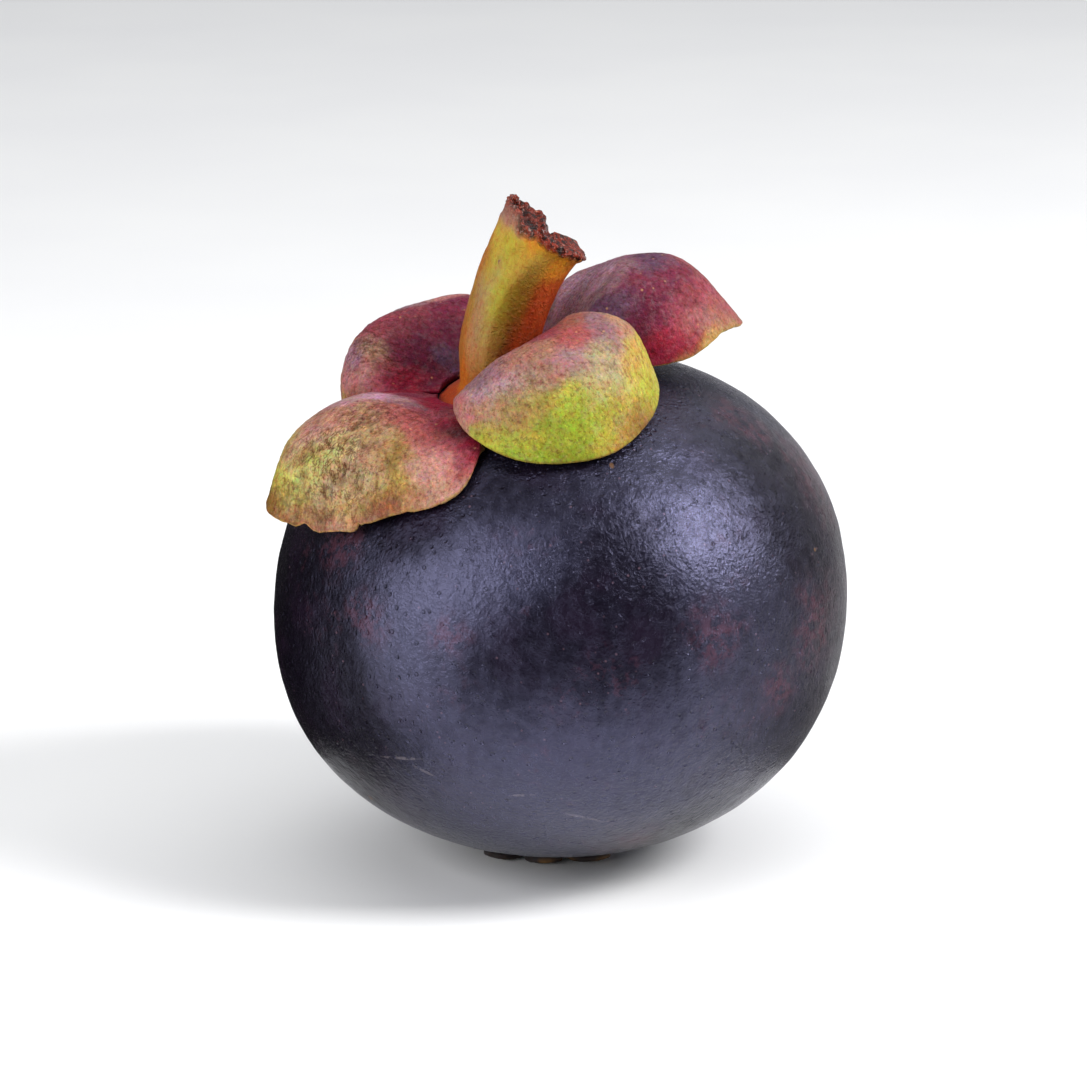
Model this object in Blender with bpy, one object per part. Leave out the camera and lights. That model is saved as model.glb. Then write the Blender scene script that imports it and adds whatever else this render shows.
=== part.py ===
"""A whole mangosteen, as picked, standing on its stigma rosette.

Frame: metres, +Z up, -Y the front. The origin is the centre of the rosette's flat underside,
which is the spot that the fruit stands on. Lengths in this file are in millimetres and angles
in degrees; each mesh is scaled to metres when its object is made.

The fruit is one rind, a four-angled stem on a collar, four sepals that arch out from the
collar and roll down onto the shoulder, and the rosette that the flower's stigma left below.
"""

import math

import bmesh
import bpy
from mathutils import Matrix, Vector

MM = 0.001
GAP = 0.4  # clearance between one solid and the next

# Rind: a superellipsoid, full in the shoulder, flattened under its foot
RIND_WIDTH = 62.6
RIND_ABOVE = 27.5  # from the widest level up
RIND_BELOW = 26.9  # from the widest level down
RIND_CENTRE = Vector((1.8, 0.3, 27.9))
RIND_POWER = 2.17
RIND_LEAN = 0.036  # shoulder to the right, belly to the left, as a share of the radius
RIND_RINGS = 32
RIND_SEGMENTS = 64
SEGMENT_COUNT = 8  # fruit segments inside, each a faint swelling and a rosette lobe
SEGMENT_SWELL = 0.16
FOOT_LEVEL = 1.5  # height of the flattened skin above the ground
FOOT_SOFTNESS = 0.6
FOOT_BELOW = -0.5  # the downward share of a direction from which the foot can cut it

# Calyx: the collar, stem and sepals share a frame that leans with the shoulder
CALYX_ASIDE = -7.0  # from the rind's axis
CALYX_FORWARD = -4.2
CALYX_LEAN_LEFT = 15.0
CALYX_LEAN_FRONT = 8.0
DIP_DEPTH = 2.6
DIP_SPREAD = 21.0  # degrees seen from the rind's centre

# Stem
COLLAR_RADIUS = 6.4
STEM_RADIUS = 4.0
STEM_SEGMENTS = 32
ROUND_POWER = 2.0  # of the superellipse that a round section is
SQUARE_POWER = 1.35  # and a square one
SQUARE_SPREAD = 0.09  # share that a square section's corners stand out further

# Rosette
LOBE_REACHES = (9.2, 8.8, 9.3, 9.0, 9.1, 8.5, 8.1, 9.6)  # anticlockwise from the right
LOBE_ROOT = 4.6
LOBE_FULLNESS = 0.25  # the smaller, the broader the lobes and the narrower the notches
LOBE_STEPS = 12
ROSETTE_RINGS = (0.25, 0.5, 0.75, 0.92, 1.0)  # shares of the outline, from the middle out
ROSETTE_THICKNESS = 1.1
EDGE_THINNING = 0.35  # share of the thickness lost by the edge
LEVEL_SHARE = 0.75  # the lobes' keels touch the ground as far out as this, then curve up
TIP_RISE = 0.6
HOLLOWS_FROM = 0.5  # share of the way out where the hollows between the keels begin
HOLLOW_DEPTH = 0.25

# Sepals
SEPAL_ROOT = 7.0  # distance of their roots from the calyx axis
SEPAL_ROOT_RISE = 1.0
SEPAL_THICKNESS = 1.9
SEPAL_EDGE = 0.4  # edge thickness as a share of the middle's
SEPAL_ROWS = 16
SEPAL_COLUMNS = 18
FANNED_BY = 0.4  # share of the way to the rim where the roots have fanned out to the ribs

# A sepal fans out from its share of the collar. Each of its ribs is an azimuth about the calyx
# axis, then (reach, rise) from the axis and the collar's foot: the inner wall, the crest, the
# shoulder and the rim. Ribs run from the sepal's right side, as seen from the stem, to its left.
SEPALS = {
    "sepal_front_left": {
        "roots": (174, 242),
        "ribs": [
            (174, (10.0, 2.4), (14.0, 2.6), (17.0, 0.8), (18.5, -1.2)),
            (188, (10.5, 3.2), (16.0, 4.4), (22.0, 2.2), (24.5, -2.0)),
            (202, (11.0, 3.8), (17.5, 5.6), (24.0, 3.2), (28.6, -2.8)),
            (218, (10.5, 3.7), (15.5, 5.2), (22.0, 3.0), (25.8, -4.7)),
            (235, (9.5, 3.4), (14.0, 4.6), (19.5, 2.2), (23.0, -3.6)),
            (249, (9.3, 1.0), (13.0, 1.4), (18.0, 0.8), (21.6, -2.9)),
            (261, (9.0, 0.3), (12.0, 0.5), (15.5, 0.2), (18.6, -1.6)),
        ],
    },
    "sepal_front_right": {
        "roots": (250, 338),
        "ribs": [
            (243, (8.2, 3.0), (9.0, 3.6), (9.6, 3.6), (10.0, 3.0)),
            (258, (8.6, 4.8), (10.5, 5.4), (13.2, 4.8), (15.3, 1.8)),
            (278, (8.8, 6.3), (11.2, 7.3), (15.8, 5.0), (19.1, -1.1)),
            (300, (9.0, 7.0), (12.6, 8.1), (17.8, 5.2), (20.8, -2.7)),
            (320, (9.2, 7.2), (13.0, 8.2), (17.8, 5.2), (19.8, -2.4)),
            (336, (9.2, 6.9), (12.8, 8.0), (17.2, 5.8), (18.4, -1.4)),
            (347, (8.8, 4.4), (11.0, 5.0), (14.0, 3.0), (15.8, -0.5)),
        ],
    },
    "sepal_back_right": {
        "roots": (346, 428),
        "ribs": [
            (354, (9.5, 3.0), (12.5, 3.2), (15.0, 1.2), (16.5, -1.6)),
            (360, (10.5, 5.2), (14.5, 6.3), (18.8, 3.2), (20.8, -1.9)),
            (369, (11.5, 6.2), (16.2, 8.1), (22.2, 5.0), (24.9, -1.6)),
            (380, (12.0, 6.6), (17.5, 8.7), (23.9, 5.9), (28.4, -3.2)),
            (393, (11.5, 6.2), (16.5, 7.8), (21.5, 4.8), (24.8, -2.5)),
            (406, (10.5, 5.4), (14.5, 6.6), (19.0, 3.6), (21.5, -2.5)),
            (420, (9.5, 3.0), (12.5, 3.4), (15.5, 1.5), (17.5, -1.5)),
        ],
    },
    "sepal_back_left": {
        "roots": (76, 166),
        "ribs": [
            (78, (9.0, 2.5), (11.5, 3.0), (14.0, 1.5), (15.5, -1.0)),
            (95, (9.5, 4.6), (12.5, 6.2), (17.0, 4.6), (19.5, -1.0)),
            (113, (9.8, 5.1), (13.5, 7.0), (18.5, 5.0), (21.0, -2.0)),
            (131, (10.0, 5.2), (14.5, 7.5), (19.5, 4.8), (21.5, -2.5)),
            (148, (10.0, 4.5), (15.0, 7.1), (19.0, 4.0), (20.5, -2.0)),
            (160, (10.0, 3.2), (14.5, 5.2), (17.5, 3.0), (18.5, -1.5)),
            (168, (9.5, 1.6), (13.0, 2.6), (16.0, 1.2), (17.0, -0.5)),
        ],
    },
}

# Rings of the collar and stem, from the foot up to the cut end and into its hollow: offset to
# the right, back and up from the calyx centre, lean to the right and the back, radius, and how
# square the section is (0 round, 1 square).
STEM_RINGS = [
    (-0.2, 0.0, 0.0, 0, 0, 6.0, 0.0),
    (-0.2, 0.0, 0.9, 0, 0, COLLAR_RADIUS, 0.0),
    (-0.1, 0.0, 1.4, 3, 1, 5.9, 0.1),
    (0.1, 0.1, 1.8, 8, 3, 4.9, 0.5),
    (0.3, 0.3, 2.6, 14, 5, 4.2, 0.8),
    (0.9, 0.5, 4.2, 22, 6, STEM_RADIUS, 1.0),
    (2.2, 0.9, 6.8, 28, 8, STEM_RADIUS, 1.0),
    (3.8, 1.3, 9.3, 33, 8, STEM_RADIUS, 1.0),
    (5.8, 1.8, 11.9, 36, 8, 4.1, 1.0),
    (7.8, 2.2, 14.0, 42, 8, 4.3, 0.9),
    (8.9, 2.4, 15.0, 48, 8, 4.9, 0.7),
    (9.6, 2.6, 15.6, 54, 8, 4.9, 0.5),
    (9.6, 2.6, 15.6, 54, 8, 3.8, 0.4),
    (9.0, 2.5, 14.8, 52, 8, 2.0, 0.2),
]


def clear_scene():
    for obj in list(bpy.data.objects):
        bpy.data.objects.remove(obj, do_unlink=True)


def soft_minimum(a, b, softness):
    """The smaller of two lengths, eased where they cross."""
    share = max(0.0, min(1.0, 0.5 + 0.5 * (b - a) / softness))
    return b + (a - b) * share - softness * share * (1 - share)


def through(stations, along):
    """The stations' values at a share of the way along them, on a Catmull-Rom curve."""
    last = len(stations) - 1
    place = min(max(along, 0.0), 1.0) * last
    i = min(int(place), last - 1)
    t = place - i
    values = []
    for k, (a, b) in enumerate(zip(stations[i], stations[i + 1])):
        before = stations[i - 1][k] if i > 0 else 2 * a - b
        after = stations[i + 2][k] if i + 2 <= last else 2 * b - a
        values.append(
            0.5 * (2 * a + (b - before) * t
                   + (2 * before - 5 * a + 4 * b - after) * t * t
                   + (3 * a - before - 3 * b + after) * t ** 3)
        )
    return values


def superellipsoid_radius(direction):
    """Distance from the centre to the plain body, along a unit direction."""
    flat = math.hypot(direction.x, direction.y) / (RIND_WIDTH / 2)
    tall = abs(direction.z) / (RIND_ABOVE if direction.z > 0 else RIND_BELOW)
    return (flat ** RIND_POWER + tall ** RIND_POWER) ** (-1 / RIND_POWER)


def calyx_direction():
    """Unit direction from the rind's centre to the calyx."""
    flat = math.hypot(CALYX_ASIDE, CALYX_FORWARD) / (RIND_WIDTH / 2)
    height = RIND_ABOVE * (1 - flat ** RIND_POWER) ** (1 / RIND_POWER)
    return Vector((CALYX_ASIDE, CALYX_FORWARD, height)).normalized()


def rind_radius(direction):
    """Distance from the rind's centre to its skin, along a unit direction."""
    flat = math.hypot(direction.x, direction.y)
    turn = math.atan2(direction.y, direction.x)
    lean = RIND_LEAN * direction.x * direction.z * flat ** 2
    radius = superellipsoid_radius(direction) * (1 + lean)
    radius += SEGMENT_SWELL * flat ** 4 * math.cos(SEGMENT_COUNT * turn + math.radians(180))
    away = math.degrees(direction.angle(calyx_direction()))
    radius -= DIP_DEPTH * math.exp(-((away / DIP_SPREAD) ** 2))
    if direction.z < FOOT_BELOW:
        to_foot = (RIND_CENTRE.z - FOOT_LEVEL) / -direction.z
        radius = soft_minimum(radius, to_foot, FOOT_SOFTNESS)
    return radius


def off_rind(point, clearance):
    """The point, moved straight out from the rind's centre if it is nearer the skin than that."""
    spoke = point - RIND_CENTRE
    direction = spoke.normalized()
    return RIND_CENTRE + direction * max(spoke.length, rind_radius(direction) + clearance)


def calyx_matrix():
    """From the calyx frame, which leans with the shoulder, to the fruit's frame."""
    direction = calyx_direction()
    centre = RIND_CENTRE + direction * (rind_radius(direction) + GAP)
    lean = Matrix.Rotation(math.radians(CALYX_LEAN_FRONT), 4, "X")
    lean = Matrix.Rotation(math.radians(-CALYX_LEAN_LEFT), 4, "Y") @ lean
    return Matrix.Translation(centre) @ lean


def simple_material(name, colour, roughness):
    material = bpy.data.materials.new(name)
    material.use_nodes = True
    shader = material.node_tree.nodes["Principled BSDF"]
    shader.inputs["Base Color"].default_value = (*colour, 1)
    shader.inputs["Roughness"].default_value = roughness
    shader.inputs["Metallic"].default_value = 0
    return material


def make_object(name, bm, material):
    """An object from a bmesh in millimetres, scaled to metres and shaded smooth."""
    bmesh.ops.recalc_face_normals(bm, faces=bm.faces)
    bmesh.ops.scale(bm, vec=(MM, MM, MM), verts=bm.verts)
    mesh = bpy.data.meshes.new(name)
    bm.to_mesh(mesh)
    bm.free()
    mesh.materials.append(material)
    mesh.shade_smooth()
    obj = bpy.data.objects.new(name, mesh)
    bpy.context.scene.collection.objects.link(obj)
    return obj


def bridge(bm, ring, next_ring):
    """Join two closed rings of as many points with a band of faces."""
    count = len(ring)
    for i in range(count):
        j = (i + 1) % count
        bm.faces.new((ring[i], ring[j], next_ring[j], next_ring[i]))


def make_rind(material):
    bm = bmesh.new()
    bmesh.ops.create_uvsphere(
        bm, u_segments=RIND_SEGMENTS, v_segments=RIND_RINGS, radius=1
    )
    for vert in bm.verts:
        direction = vert.co.normalized()
        vert.co = direction * rind_radius(direction)
    rind = make_object("rind", bm, material)
    rind.location = RIND_CENTRE * MM
    return rind


def stem_section(ring):
    """Points round one ring: a circle drawn out to four soft corners, leaning with the stem."""
    aside, back, height, lean_right, lean_back, radius, squareness = ring
    lean = Matrix.Rotation(math.radians(lean_right), 3, "Y")
    lean = Matrix.Rotation(math.radians(-lean_back), 3, "X") @ lean
    power = ROUND_POWER + (SQUARE_POWER - ROUND_POWER) * squareness
    corner = radius * (1 + SQUARE_SPREAD * squareness)
    points = []
    for i in range(STEM_SEGMENTS):
        turn = 2 * math.pi * i / STEM_SEGMENTS
        side = abs(math.cos(turn)) ** power + abs(math.sin(turn)) ** power
        reach = corner * side ** (-1 / power)
        offset = Vector((reach * math.cos(turn), reach * math.sin(turn), 0))
        points.append(Vector((aside, back, height)) + lean @ offset)
    return points


def make_stem(calyx, material):
    """The collar and stem in one piece: rings bridged from the foot up and into the cut end."""
    to_calyx = calyx.inverted()
    bm = bmesh.new()
    rings = []
    for ring in STEM_RINGS:
        settled = [off_rind(calyx @ point, GAP) for point in stem_section(ring)]
        rings.append([bm.verts.new(to_calyx @ point) for point in settled])
    for lower, upper in zip(rings, rings[1:]):
        bridge(bm, lower, upper)
    bm.faces.new(reversed(rings[0]))
    bm.faces.new(rings[-1])
    return make_object("stem", bm, material)


def sepal_point(spec, along, across):
    """A point of a sepal's upper skin in the calyx frame.

    along runs 0 to 1 from root to rim, and across 0 to 1 from its first rib to its last.
    """
    first_root, last_root = spec["roots"]
    root_azimuth = first_root + (last_root - first_root) * across
    wide = [[rib[0]] + [value for knot in rib[1:] for value in knot] for rib in spec["ribs"]]
    azimuth, *profile = through(wide, across)
    knots = [(SEPAL_ROOT, SEPAL_ROOT_RISE)] + list(zip(profile[::2], profile[1::2]))
    reach, rise = through(knots, along)
    spread = min(1.0, along / FANNED_BY)
    spread = spread * spread * (3 - 2 * spread)
    turn = math.radians(root_azimuth + (azimuth - root_azimuth) * spread)
    return Vector((reach * math.cos(turn), reach * math.sin(turn), rise))


def make_sepal(name, spec, calyx, material):
    """A sheet hooded over the shoulder, thickened downwards, thinner towards its edges."""
    to_calyx = calyx.inverted()
    bm = bmesh.new()
    bmesh.ops.create_grid(bm, x_segments=SEPAL_ROWS, y_segments=SEPAL_COLUMNS, size=1)
    weights = []
    for vert in bm.verts:
        along = (vert.co.x + 1) / 2
        across = (vert.co.y + 1) / 2
        edge = max(abs(vert.co.y), along) ** 3
        share = 1 - (1 - SEPAL_EDGE) * edge
        clearance = GAP + SEPAL_THICKNESS * share
        settled = off_rind(calyx @ sepal_point(spec, along, across), clearance)
        vert.co = to_calyx @ settled
        weights.append(share)
    sepal = make_object(name, bm, material)
    group = sepal.vertex_groups.new(name="thickness")
    for i, weight in enumerate(weights):
        group.add([i], weight, "REPLACE")
    thicken = sepal.modifiers.new("thicken", "SOLIDIFY")
    thicken.thickness = SEPAL_THICKNESS * MM
    thicken.offset = -1
    thicken.vertex_group = group.name
    return sepal


def lobe_outline(turn):
    """Distance from the rosette's centre to its edge, at an angle from the right."""
    place = SEGMENT_COUNT * turn / (2 * math.pi)
    reach = LOBE_REACHES[round(place) % SEGMENT_COUNT]
    fullness = (0.5 + 0.5 * math.cos(2 * math.pi * place)) ** LOBE_FULLNESS
    return LOBE_ROOT + (reach - LOBE_ROOT) * fullness


def rosette_point(turn, share, top):
    """A point of the rosette's skin, at a share of the way from the middle to the edge."""
    reach = lobe_outline(turn) * share
    keel = 0.5 + 0.5 * math.cos(SEGMENT_COUNT * turn)
    risen = max(0.0, (share - LEVEL_SHARE) / (1 - LEVEL_SHARE))
    height = TIP_RISE * keel * risen ** 2
    if top:
        height += ROSETTE_THICKNESS * (1 - EDGE_THINNING * share ** 4)
    else:
        hollowed = max(0.0, (share - HOLLOWS_FROM) / (1 - HOLLOWS_FROM))
        height += HOLLOW_DEPTH * (1 - keel) * hollowed
    return (reach * math.cos(turn), reach * math.sin(turn), height)


def make_rosette(material):
    """Woody lobes round a level middle, each standing on a low keel and rising at its end."""
    steps = SEGMENT_COUNT * LOBE_STEPS
    turns = [2 * math.pi * i / steps for i in range(steps)]
    bm = bmesh.new()
    edges = []
    for top in (False, True):
        rings = [
            [bm.verts.new(rosette_point(turn, share, top)) for turn in turns]
            for share in ROSETTE_RINGS
        ]
        bm.faces.new(rings[0])
        for inner, outer in zip(rings, rings[1:]):
            bridge(bm, inner, outer)
        edges.append(rings[-1])
    bridge(bm, *edges)
    return make_object("stigma_rosette", bm, material)


def main():
    clear_scene()
    rind_skin = simple_material("rind_skin", (0.035, 0.028, 0.055), 0.4)
    sepal_skin = simple_material("sepal_skin", (0.30, 0.14, 0.10), 0.5)
    stem_skin = simple_material("stem_skin", (0.42, 0.27, 0.04), 0.5)
    dry_lobes = simple_material("dry_lobes", (0.10, 0.05, 0.02), 0.7)

    make_rind(rind_skin)
    make_rosette(dry_lobes)

    calyx = bpy.data.objects.new("calyx", None)
    bpy.context.scene.collection.objects.link(calyx)
    placed = calyx_matrix()
    calyx.location = placed.translation * MM
    calyx.rotation_euler = placed.to_euler()

    make_stem(placed, stem_skin).parent = calyx
    for name, spec in SEPALS.items():
        make_sepal(name, spec, placed, sepal_skin).parent = calyx


main()
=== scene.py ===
"""The looks of a whole mangosteen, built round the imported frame.

Lengths are in millimetres, except those of the lights and the floor, which are in metres. Angles
are in degrees. The axes are the frame's: +Z up, -Y the front. The rind, sepals, stem and rosette
follow the same formulas as the CAD pieces they stand for, on much finer meshes, with the relief
and the colours that the plain solids leave out.
"""

import math
from itertools import product

import bmesh
import bpy
import numpy as np
from mathutils import Matrix, Quaternion, Vector, noise


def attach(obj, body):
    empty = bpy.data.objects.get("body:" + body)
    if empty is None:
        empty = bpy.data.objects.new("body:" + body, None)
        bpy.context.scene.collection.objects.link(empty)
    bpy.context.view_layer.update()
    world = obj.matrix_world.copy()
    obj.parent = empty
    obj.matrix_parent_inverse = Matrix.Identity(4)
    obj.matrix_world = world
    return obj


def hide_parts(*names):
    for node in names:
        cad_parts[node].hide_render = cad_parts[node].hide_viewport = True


MM = 0.001

# ---------------- the fruit's driving sizes
RIND_WIDTH = 62.6
RIND_ABOVE = 27.5  # from the widest level up
RIND_BELOW = 26.9  # from the widest level down
RIND_CENTRE = Vector((1.8, 0.3, 27.9))
RIND_POWER = 2.17
RIND_LEAN = 0.036
RIND_FACE_STEPS = 126  # cells along each side of the six faces of its mesh
SEGMENT_COUNT = 8
SEGMENT_SWELL = 0.16
FOOT_LEVEL = 1.5
FOOT_SOFTNESS = 0.6
FOOT_BELOW = -0.5

CALYX_ASIDE = -7.0
CALYX_FORWARD = -4.2
CALYX_LEAN_LEFT = 15.0
CALYX_LEAN_FRONT = 8.0
CALYX_CLEARANCE = 0.4
DIP_DEPTH = 2.6
DIP_SPREAD = 21.0

COLLAR_RADIUS = 6.4
STEM_RADIUS = 4.0
STEM_SEGMENTS = 160
STEM_LEVELS = 190
ROUND_POWER = 2.0
SQUARE_POWER = 1.35
SQUARE_SPREAD = 0.09
RIDGE_TWIST = 18.0  # how far the stem's square edges turn on their way down
# Places round the stem are shares of a turn from the right. The notches broken out of the cut
# end: place, width, depth. The open side of the hollow and the film of bark: place, width.
NOTCHES = [(0.665, 0.035, 0.8), (0.19, 0.06, 1.2)]
OPEN_SIDE = (0.50, 0.13)
FILM = (0.57, 0.075)
HOLLOW_SINK = 2.4
# Heights on the stem where something begins and is complete, counted in STEM_RINGS
CRUST_RINGS = (9.8, 10.5)
FILM_END_RINGS = (10.4, 11.2)
INSIDE_RINGS = (11.0, 11.8)
NOTCH_RINGS = (8.6, 11)
UNTWISTED = (0.48, 0.70)  # shares of the stem between which the twist fades out

LOBE_REACHES = (9.2, 8.8, 9.3, 9.0, 9.1, 8.5, 8.1, 9.6)
LOBE_ROOT = 4.6
LOBE_FULLNESS = 0.25
LOBE_STEPS = 40
ROSETTE_LEVELS = 34
ROSETTE_THICKNESS = 1.1
EDGE_THINNING = 0.35
LEVEL_SHARE = 0.75
TIP_RISE = 0.6
HOLLOWS_FROM = 0.5
HOLLOW_DEPTH = 0.25

SEPAL_ROOT = 6.6
SEPAL_ROOT_RISE = 0.9
SEPAL_THICKNESS = 1.9
SEPAL_EDGE = 0.4  # the thickness at the rim, as a share
SEPAL_ROOT_SHARE = 0.45  # the thickness at the root, as a share
SEPAL_CLEARANCE = 0.3
SEPAL_ROWS = 130
SEPAL_COLUMNS = 160
SEPAL_EDGE_STEPS = 4
FANNED_BY = 0.4

# Each sepal: the azimuths between which it is rooted, how strongly its skin crinkles, where it is
# the most worn (across, along, size), how torn its rim is, how much its first and last corners
# are rounded off and from where, its rim's colour, and its ribs. A rib is its azimuth about the
# calyx axis, then the reach and rise of the inner wall, the crest, the shoulder and the rim.
SEPALS = {
    "sepal_front_left": {
        "roots": (174, 242),
        "crinkle": 1,
        "worn_at": (0.53, 0.68, 0.15),
        "ragged": 1,
        "corners": ((0, 0.8), (0.24, 0.80)),
        "rim": (0.42, 0.25, 0.07),
        "ribs": [
            (174, 10, 2.4, 14, 2.6, 17, 0.8, 18.5, -1.2),
            (188, 10.5, 3.2, 16, 4.4, 22, 2.2, 24.5, -2),
            (202, 11, 3.8, 17.5, 5.6, 24, 3.2, 28.6, -2.8),
            (218, 10.5, 3.3, 15.5, 5, 22, 3, 25.8, -4.7),
            (235, 9.5, 1.3, 14, 2.9, 19.5, 1.8, 23, -3.6),
            (249, 9.3, 0.4, 13, 1, 18, 0.6, 21.6, -2.9),
            (261, 9, 0.3, 12, 0.5, 15.5, 0.2, 18.6, -1.6),
        ],
    },
    "sepal_front_right": {
        "roots": (250, 338),
        "crinkle": 0.45,
        "worn_at": (0.33, 0.68, 0.16),
        "ragged": 0.12,
        "corners": ((0.13, 0.55), (0.20, 0.55)),
        "rim": (0.28, 0.18, 0.03),
        "ribs": [
            (243, 8.2, 3, 9, 3.6, 9.6, 3.6, 10, 3),
            (258, 8.6, 4.8, 10.5, 5.4, 13.2, 4.8, 15.3, 1.8),
            (278, 8.8, 6.3, 11.2, 7.3, 15.8, 5, 19.1, -1.1),
            (300, 9, 7, 12.6, 8.1, 17.8, 5.2, 20.8, -2.7),
            (320, 9.2, 7.2, 13, 8.2, 17.8, 5.2, 19.8, -2.4),
            (336, 9.2, 6.9, 12.8, 8, 17.2, 5.8, 18.4, -1.4),
            (348, 8.8, 4.6, 11.2, 5.6, 15.2, 3.6, 16.6, -0.9),
        ],
    },
    "sepal_back_right": {
        "roots": (346, 428),
        "crinkle": 0.30,
        "worn_at": (0.30, 0.85, 0.20),
        "ragged": 0.6,
        "corners": ((0.06, 0.55), (0.18, 0.55)),
        "rim": (0.36, 0.25, 0.04),
        "ribs": [
            (354, 9.5, 3, 12.5, 3.2, 15, 1.2, 16.5, -1.6),
            (360, 10.5, 5.2, 14.5, 6.3, 18.8, 3.2, 20.8, -1.9),
            (369, 11.5, 6.2, 16.2, 8.1, 22.2, 5, 24.9, -1.6),
            (380, 12, 6.6, 17.5, 8.7, 23.9, 5.9, 28.4, -3.2),
            (393, 11.5, 6.2, 16.5, 7.8, 21.5, 4.8, 24.8, -2.5),
            (406, 10.5, 5.4, 14.5, 6.6, 19, 3.6, 21.5, -2.5),
            (420, 9.5, 3, 12.5, 3.4, 15.5, 1.5, 17.5, -1.5),
        ],
    },
    "sepal_back_left": {
        "roots": (76, 166),
        "crinkle": 0.7,
        "worn_at": (0.80, 0.50, 0.25),
        "ragged": 0.4,
        "corners": ((0.14, 0.55), (0.03, 0.55)),
        "rim": (0.20, 0.09, 0.05),
        "ribs": [
            (78, 9, 2.5, 11.5, 3, 14, 1.5, 15.5, -1),
            (95, 9.5, 4.6, 12.5, 6.2, 17, 4.6, 19.5, -1),
            (113, 9.8, 5.1, 13.5, 7, 18.5, 5, 21, -2),
            (131, 10, 5.2, 14.5, 7.5, 19.5, 4.8, 21.5, -2.5),
            (148, 10, 4.5, 15, 7.1, 19, 4, 20.5, -2),
            (161, 10, 3.1, 14.5, 5.1, 17.7, 2.6, 18.8, -2),
            (171, 9.5, 1.4, 13, 2.3, 16.4, 0.6, 17.8, -1.6),
        ],
    },
}

# Rings of the collar and stem: offset right, back and up from the calyx centre, lean right and
# back, radius, squareness.
STEM_RINGS = [
    (-0.2, 0.0, 0.0, 0, 0, 6.0, 0.0),
    (-0.2, 0.0, 0.5, 0, 0, COLLAR_RADIUS, 0.0),
    (-0.1, 0.0, 0.65, 3, 1, 5.4, 0.1),
    (0.1, 0.1, 0.85, 8, 3, 4.3, 0.5),
    (0.25, 0.3, 1.7, 14, 5, 4.0, 0.8),
    (0.9, 0.5, 4.2, 22, 6, STEM_RADIUS, 1.0),
    (2.2, 0.9, 6.8, 28, 8, STEM_RADIUS, 1.0),
    (3.8, 1.3, 9.3, 33, 8, STEM_RADIUS, 1.0),
    (5.8, 1.8, 11.9, 36, 8, 4.1, 1.0),
    (7.8, 2.2, 14.0, 42, 8, 4.4, 0.8),
    (8.6, 2.4, 14.7, 47, 8, 4.8, 0.5),
    (9.5, 2.6, 15.6, 54, 8, 4.9, 0.3),
    (9.5, 2.6, 15.6, 54, 8, 3.6, 0.3),
    (9.3, 2.5, 15.4, 54, 8, 1.2, 0.2),
]

# ---------------- colours, as linear RGB
GREEN = (0.22, 0.27, 0.02)
DARK_GREEN = (0.17, 0.21, 0.015)
PALE_LIME = (0.41, 0.385, 0.13)
LIME = (0.36, 0.36, 0.035)
YELLOW = (0.44, 0.36, 0.06)
YELLOW_OLIVE = (0.38, 0.31, 0.05)
GOLD = (0.40, 0.26, 0.06)
OLIVE = (0.28, 0.19, 0.045)
DARK_OLIVE = (0.17, 0.09, 0.01)
CREAM = (0.36, 0.28, 0.14)
OLIVE_TAN = (0.30, 0.20, 0.09)
GREY_TAN = (0.31, 0.21, 0.14)
TAN = (0.36, 0.19, 0.11)
ORANGE_TAN = (0.42, 0.20, 0.09)
PEACH = (0.43, 0.24, 0.16)
SALMON = (0.40, 0.18, 0.15)
PINK = (0.41, 0.21, 0.165)
ROSE = (0.36, 0.14, 0.13)
ROSE_BROWN = (0.29, 0.13, 0.09)
MAUVE_GREY = (0.27, 0.15, 0.17)
MAUVE_PINK = (0.35, 0.20, 0.21)
LILAC = (0.46, 0.25, 0.33)
PURPLE_GREY = (0.22, 0.11, 0.13)
DUSK = (0.095, 0.038, 0.072)
WINE = (0.26, 0.05, 0.07)
RED = (0.31, 0.07, 0.065)
BRIGHT_RED = (0.30, 0.04, 0.035)
CARMINE = (0.27, 0.018, 0.038)
CRIMSON = (0.20, 0.006, 0.024)
MAROON = (0.20, 0.035, 0.05)
PLUM = (0.135, 0.016, 0.038)
DEEP_PLUM = (0.10, 0.010, 0.030)
# Painted shade: a near-black that stands for shade on the front left sepal
PAINTED_SHADE_BLACK = (0.05, 0.006, 0.009)
RED_BROWN = (0.24, 0.08, 0.055)
BROWN = (0.20, 0.085, 0.025)
AMBER_BROWN = (0.30, 0.17, 0.03)
ORANGE_YELLOW = (0.60, 0.27, 0.03)
ORANGE = (0.46, 0.14, 0.02)
AMBER = (0.33, 0.13, 0.03)
FLAME = (0.36, 0.06, 0.02)
RUST = (0.26, 0.035, 0.010)
DARK_RUST = (0.12, 0.022, 0.006)
# The dark brown that the sepals' undersides are blended towards: partly their own colour, partly
# painted shade, kept dark so that the rind under the sepals reflects shade
SHADED_UNDERSIDE = (0.14, 0.07, 0.04)
SHADED_UNDERSIDE_SHARE = 0.6  # how much of it there is in a sepal's underside
FRECKLE = (0.09, 0.03, 0.018)
PALE_FLECK = (0.62, 0.34, 0.14)
RIND_BLACK = (0.003, 0.0018, 0.0044)
RIND_PURPLE = (0.007, 0.0032, 0.0085)
RIND_BLOOM_BLUE = (0.026, 0.027, 0.050)
RIND_STAIN_RED = (0.055, 0.016, 0.024)
RIND_SPECK = (0.14, 0.08, 0.10)
SCAR_GREY = (0.14, 0.12, 0.13)
LATEX = (0.16, 0.08, 0.03)
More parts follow.
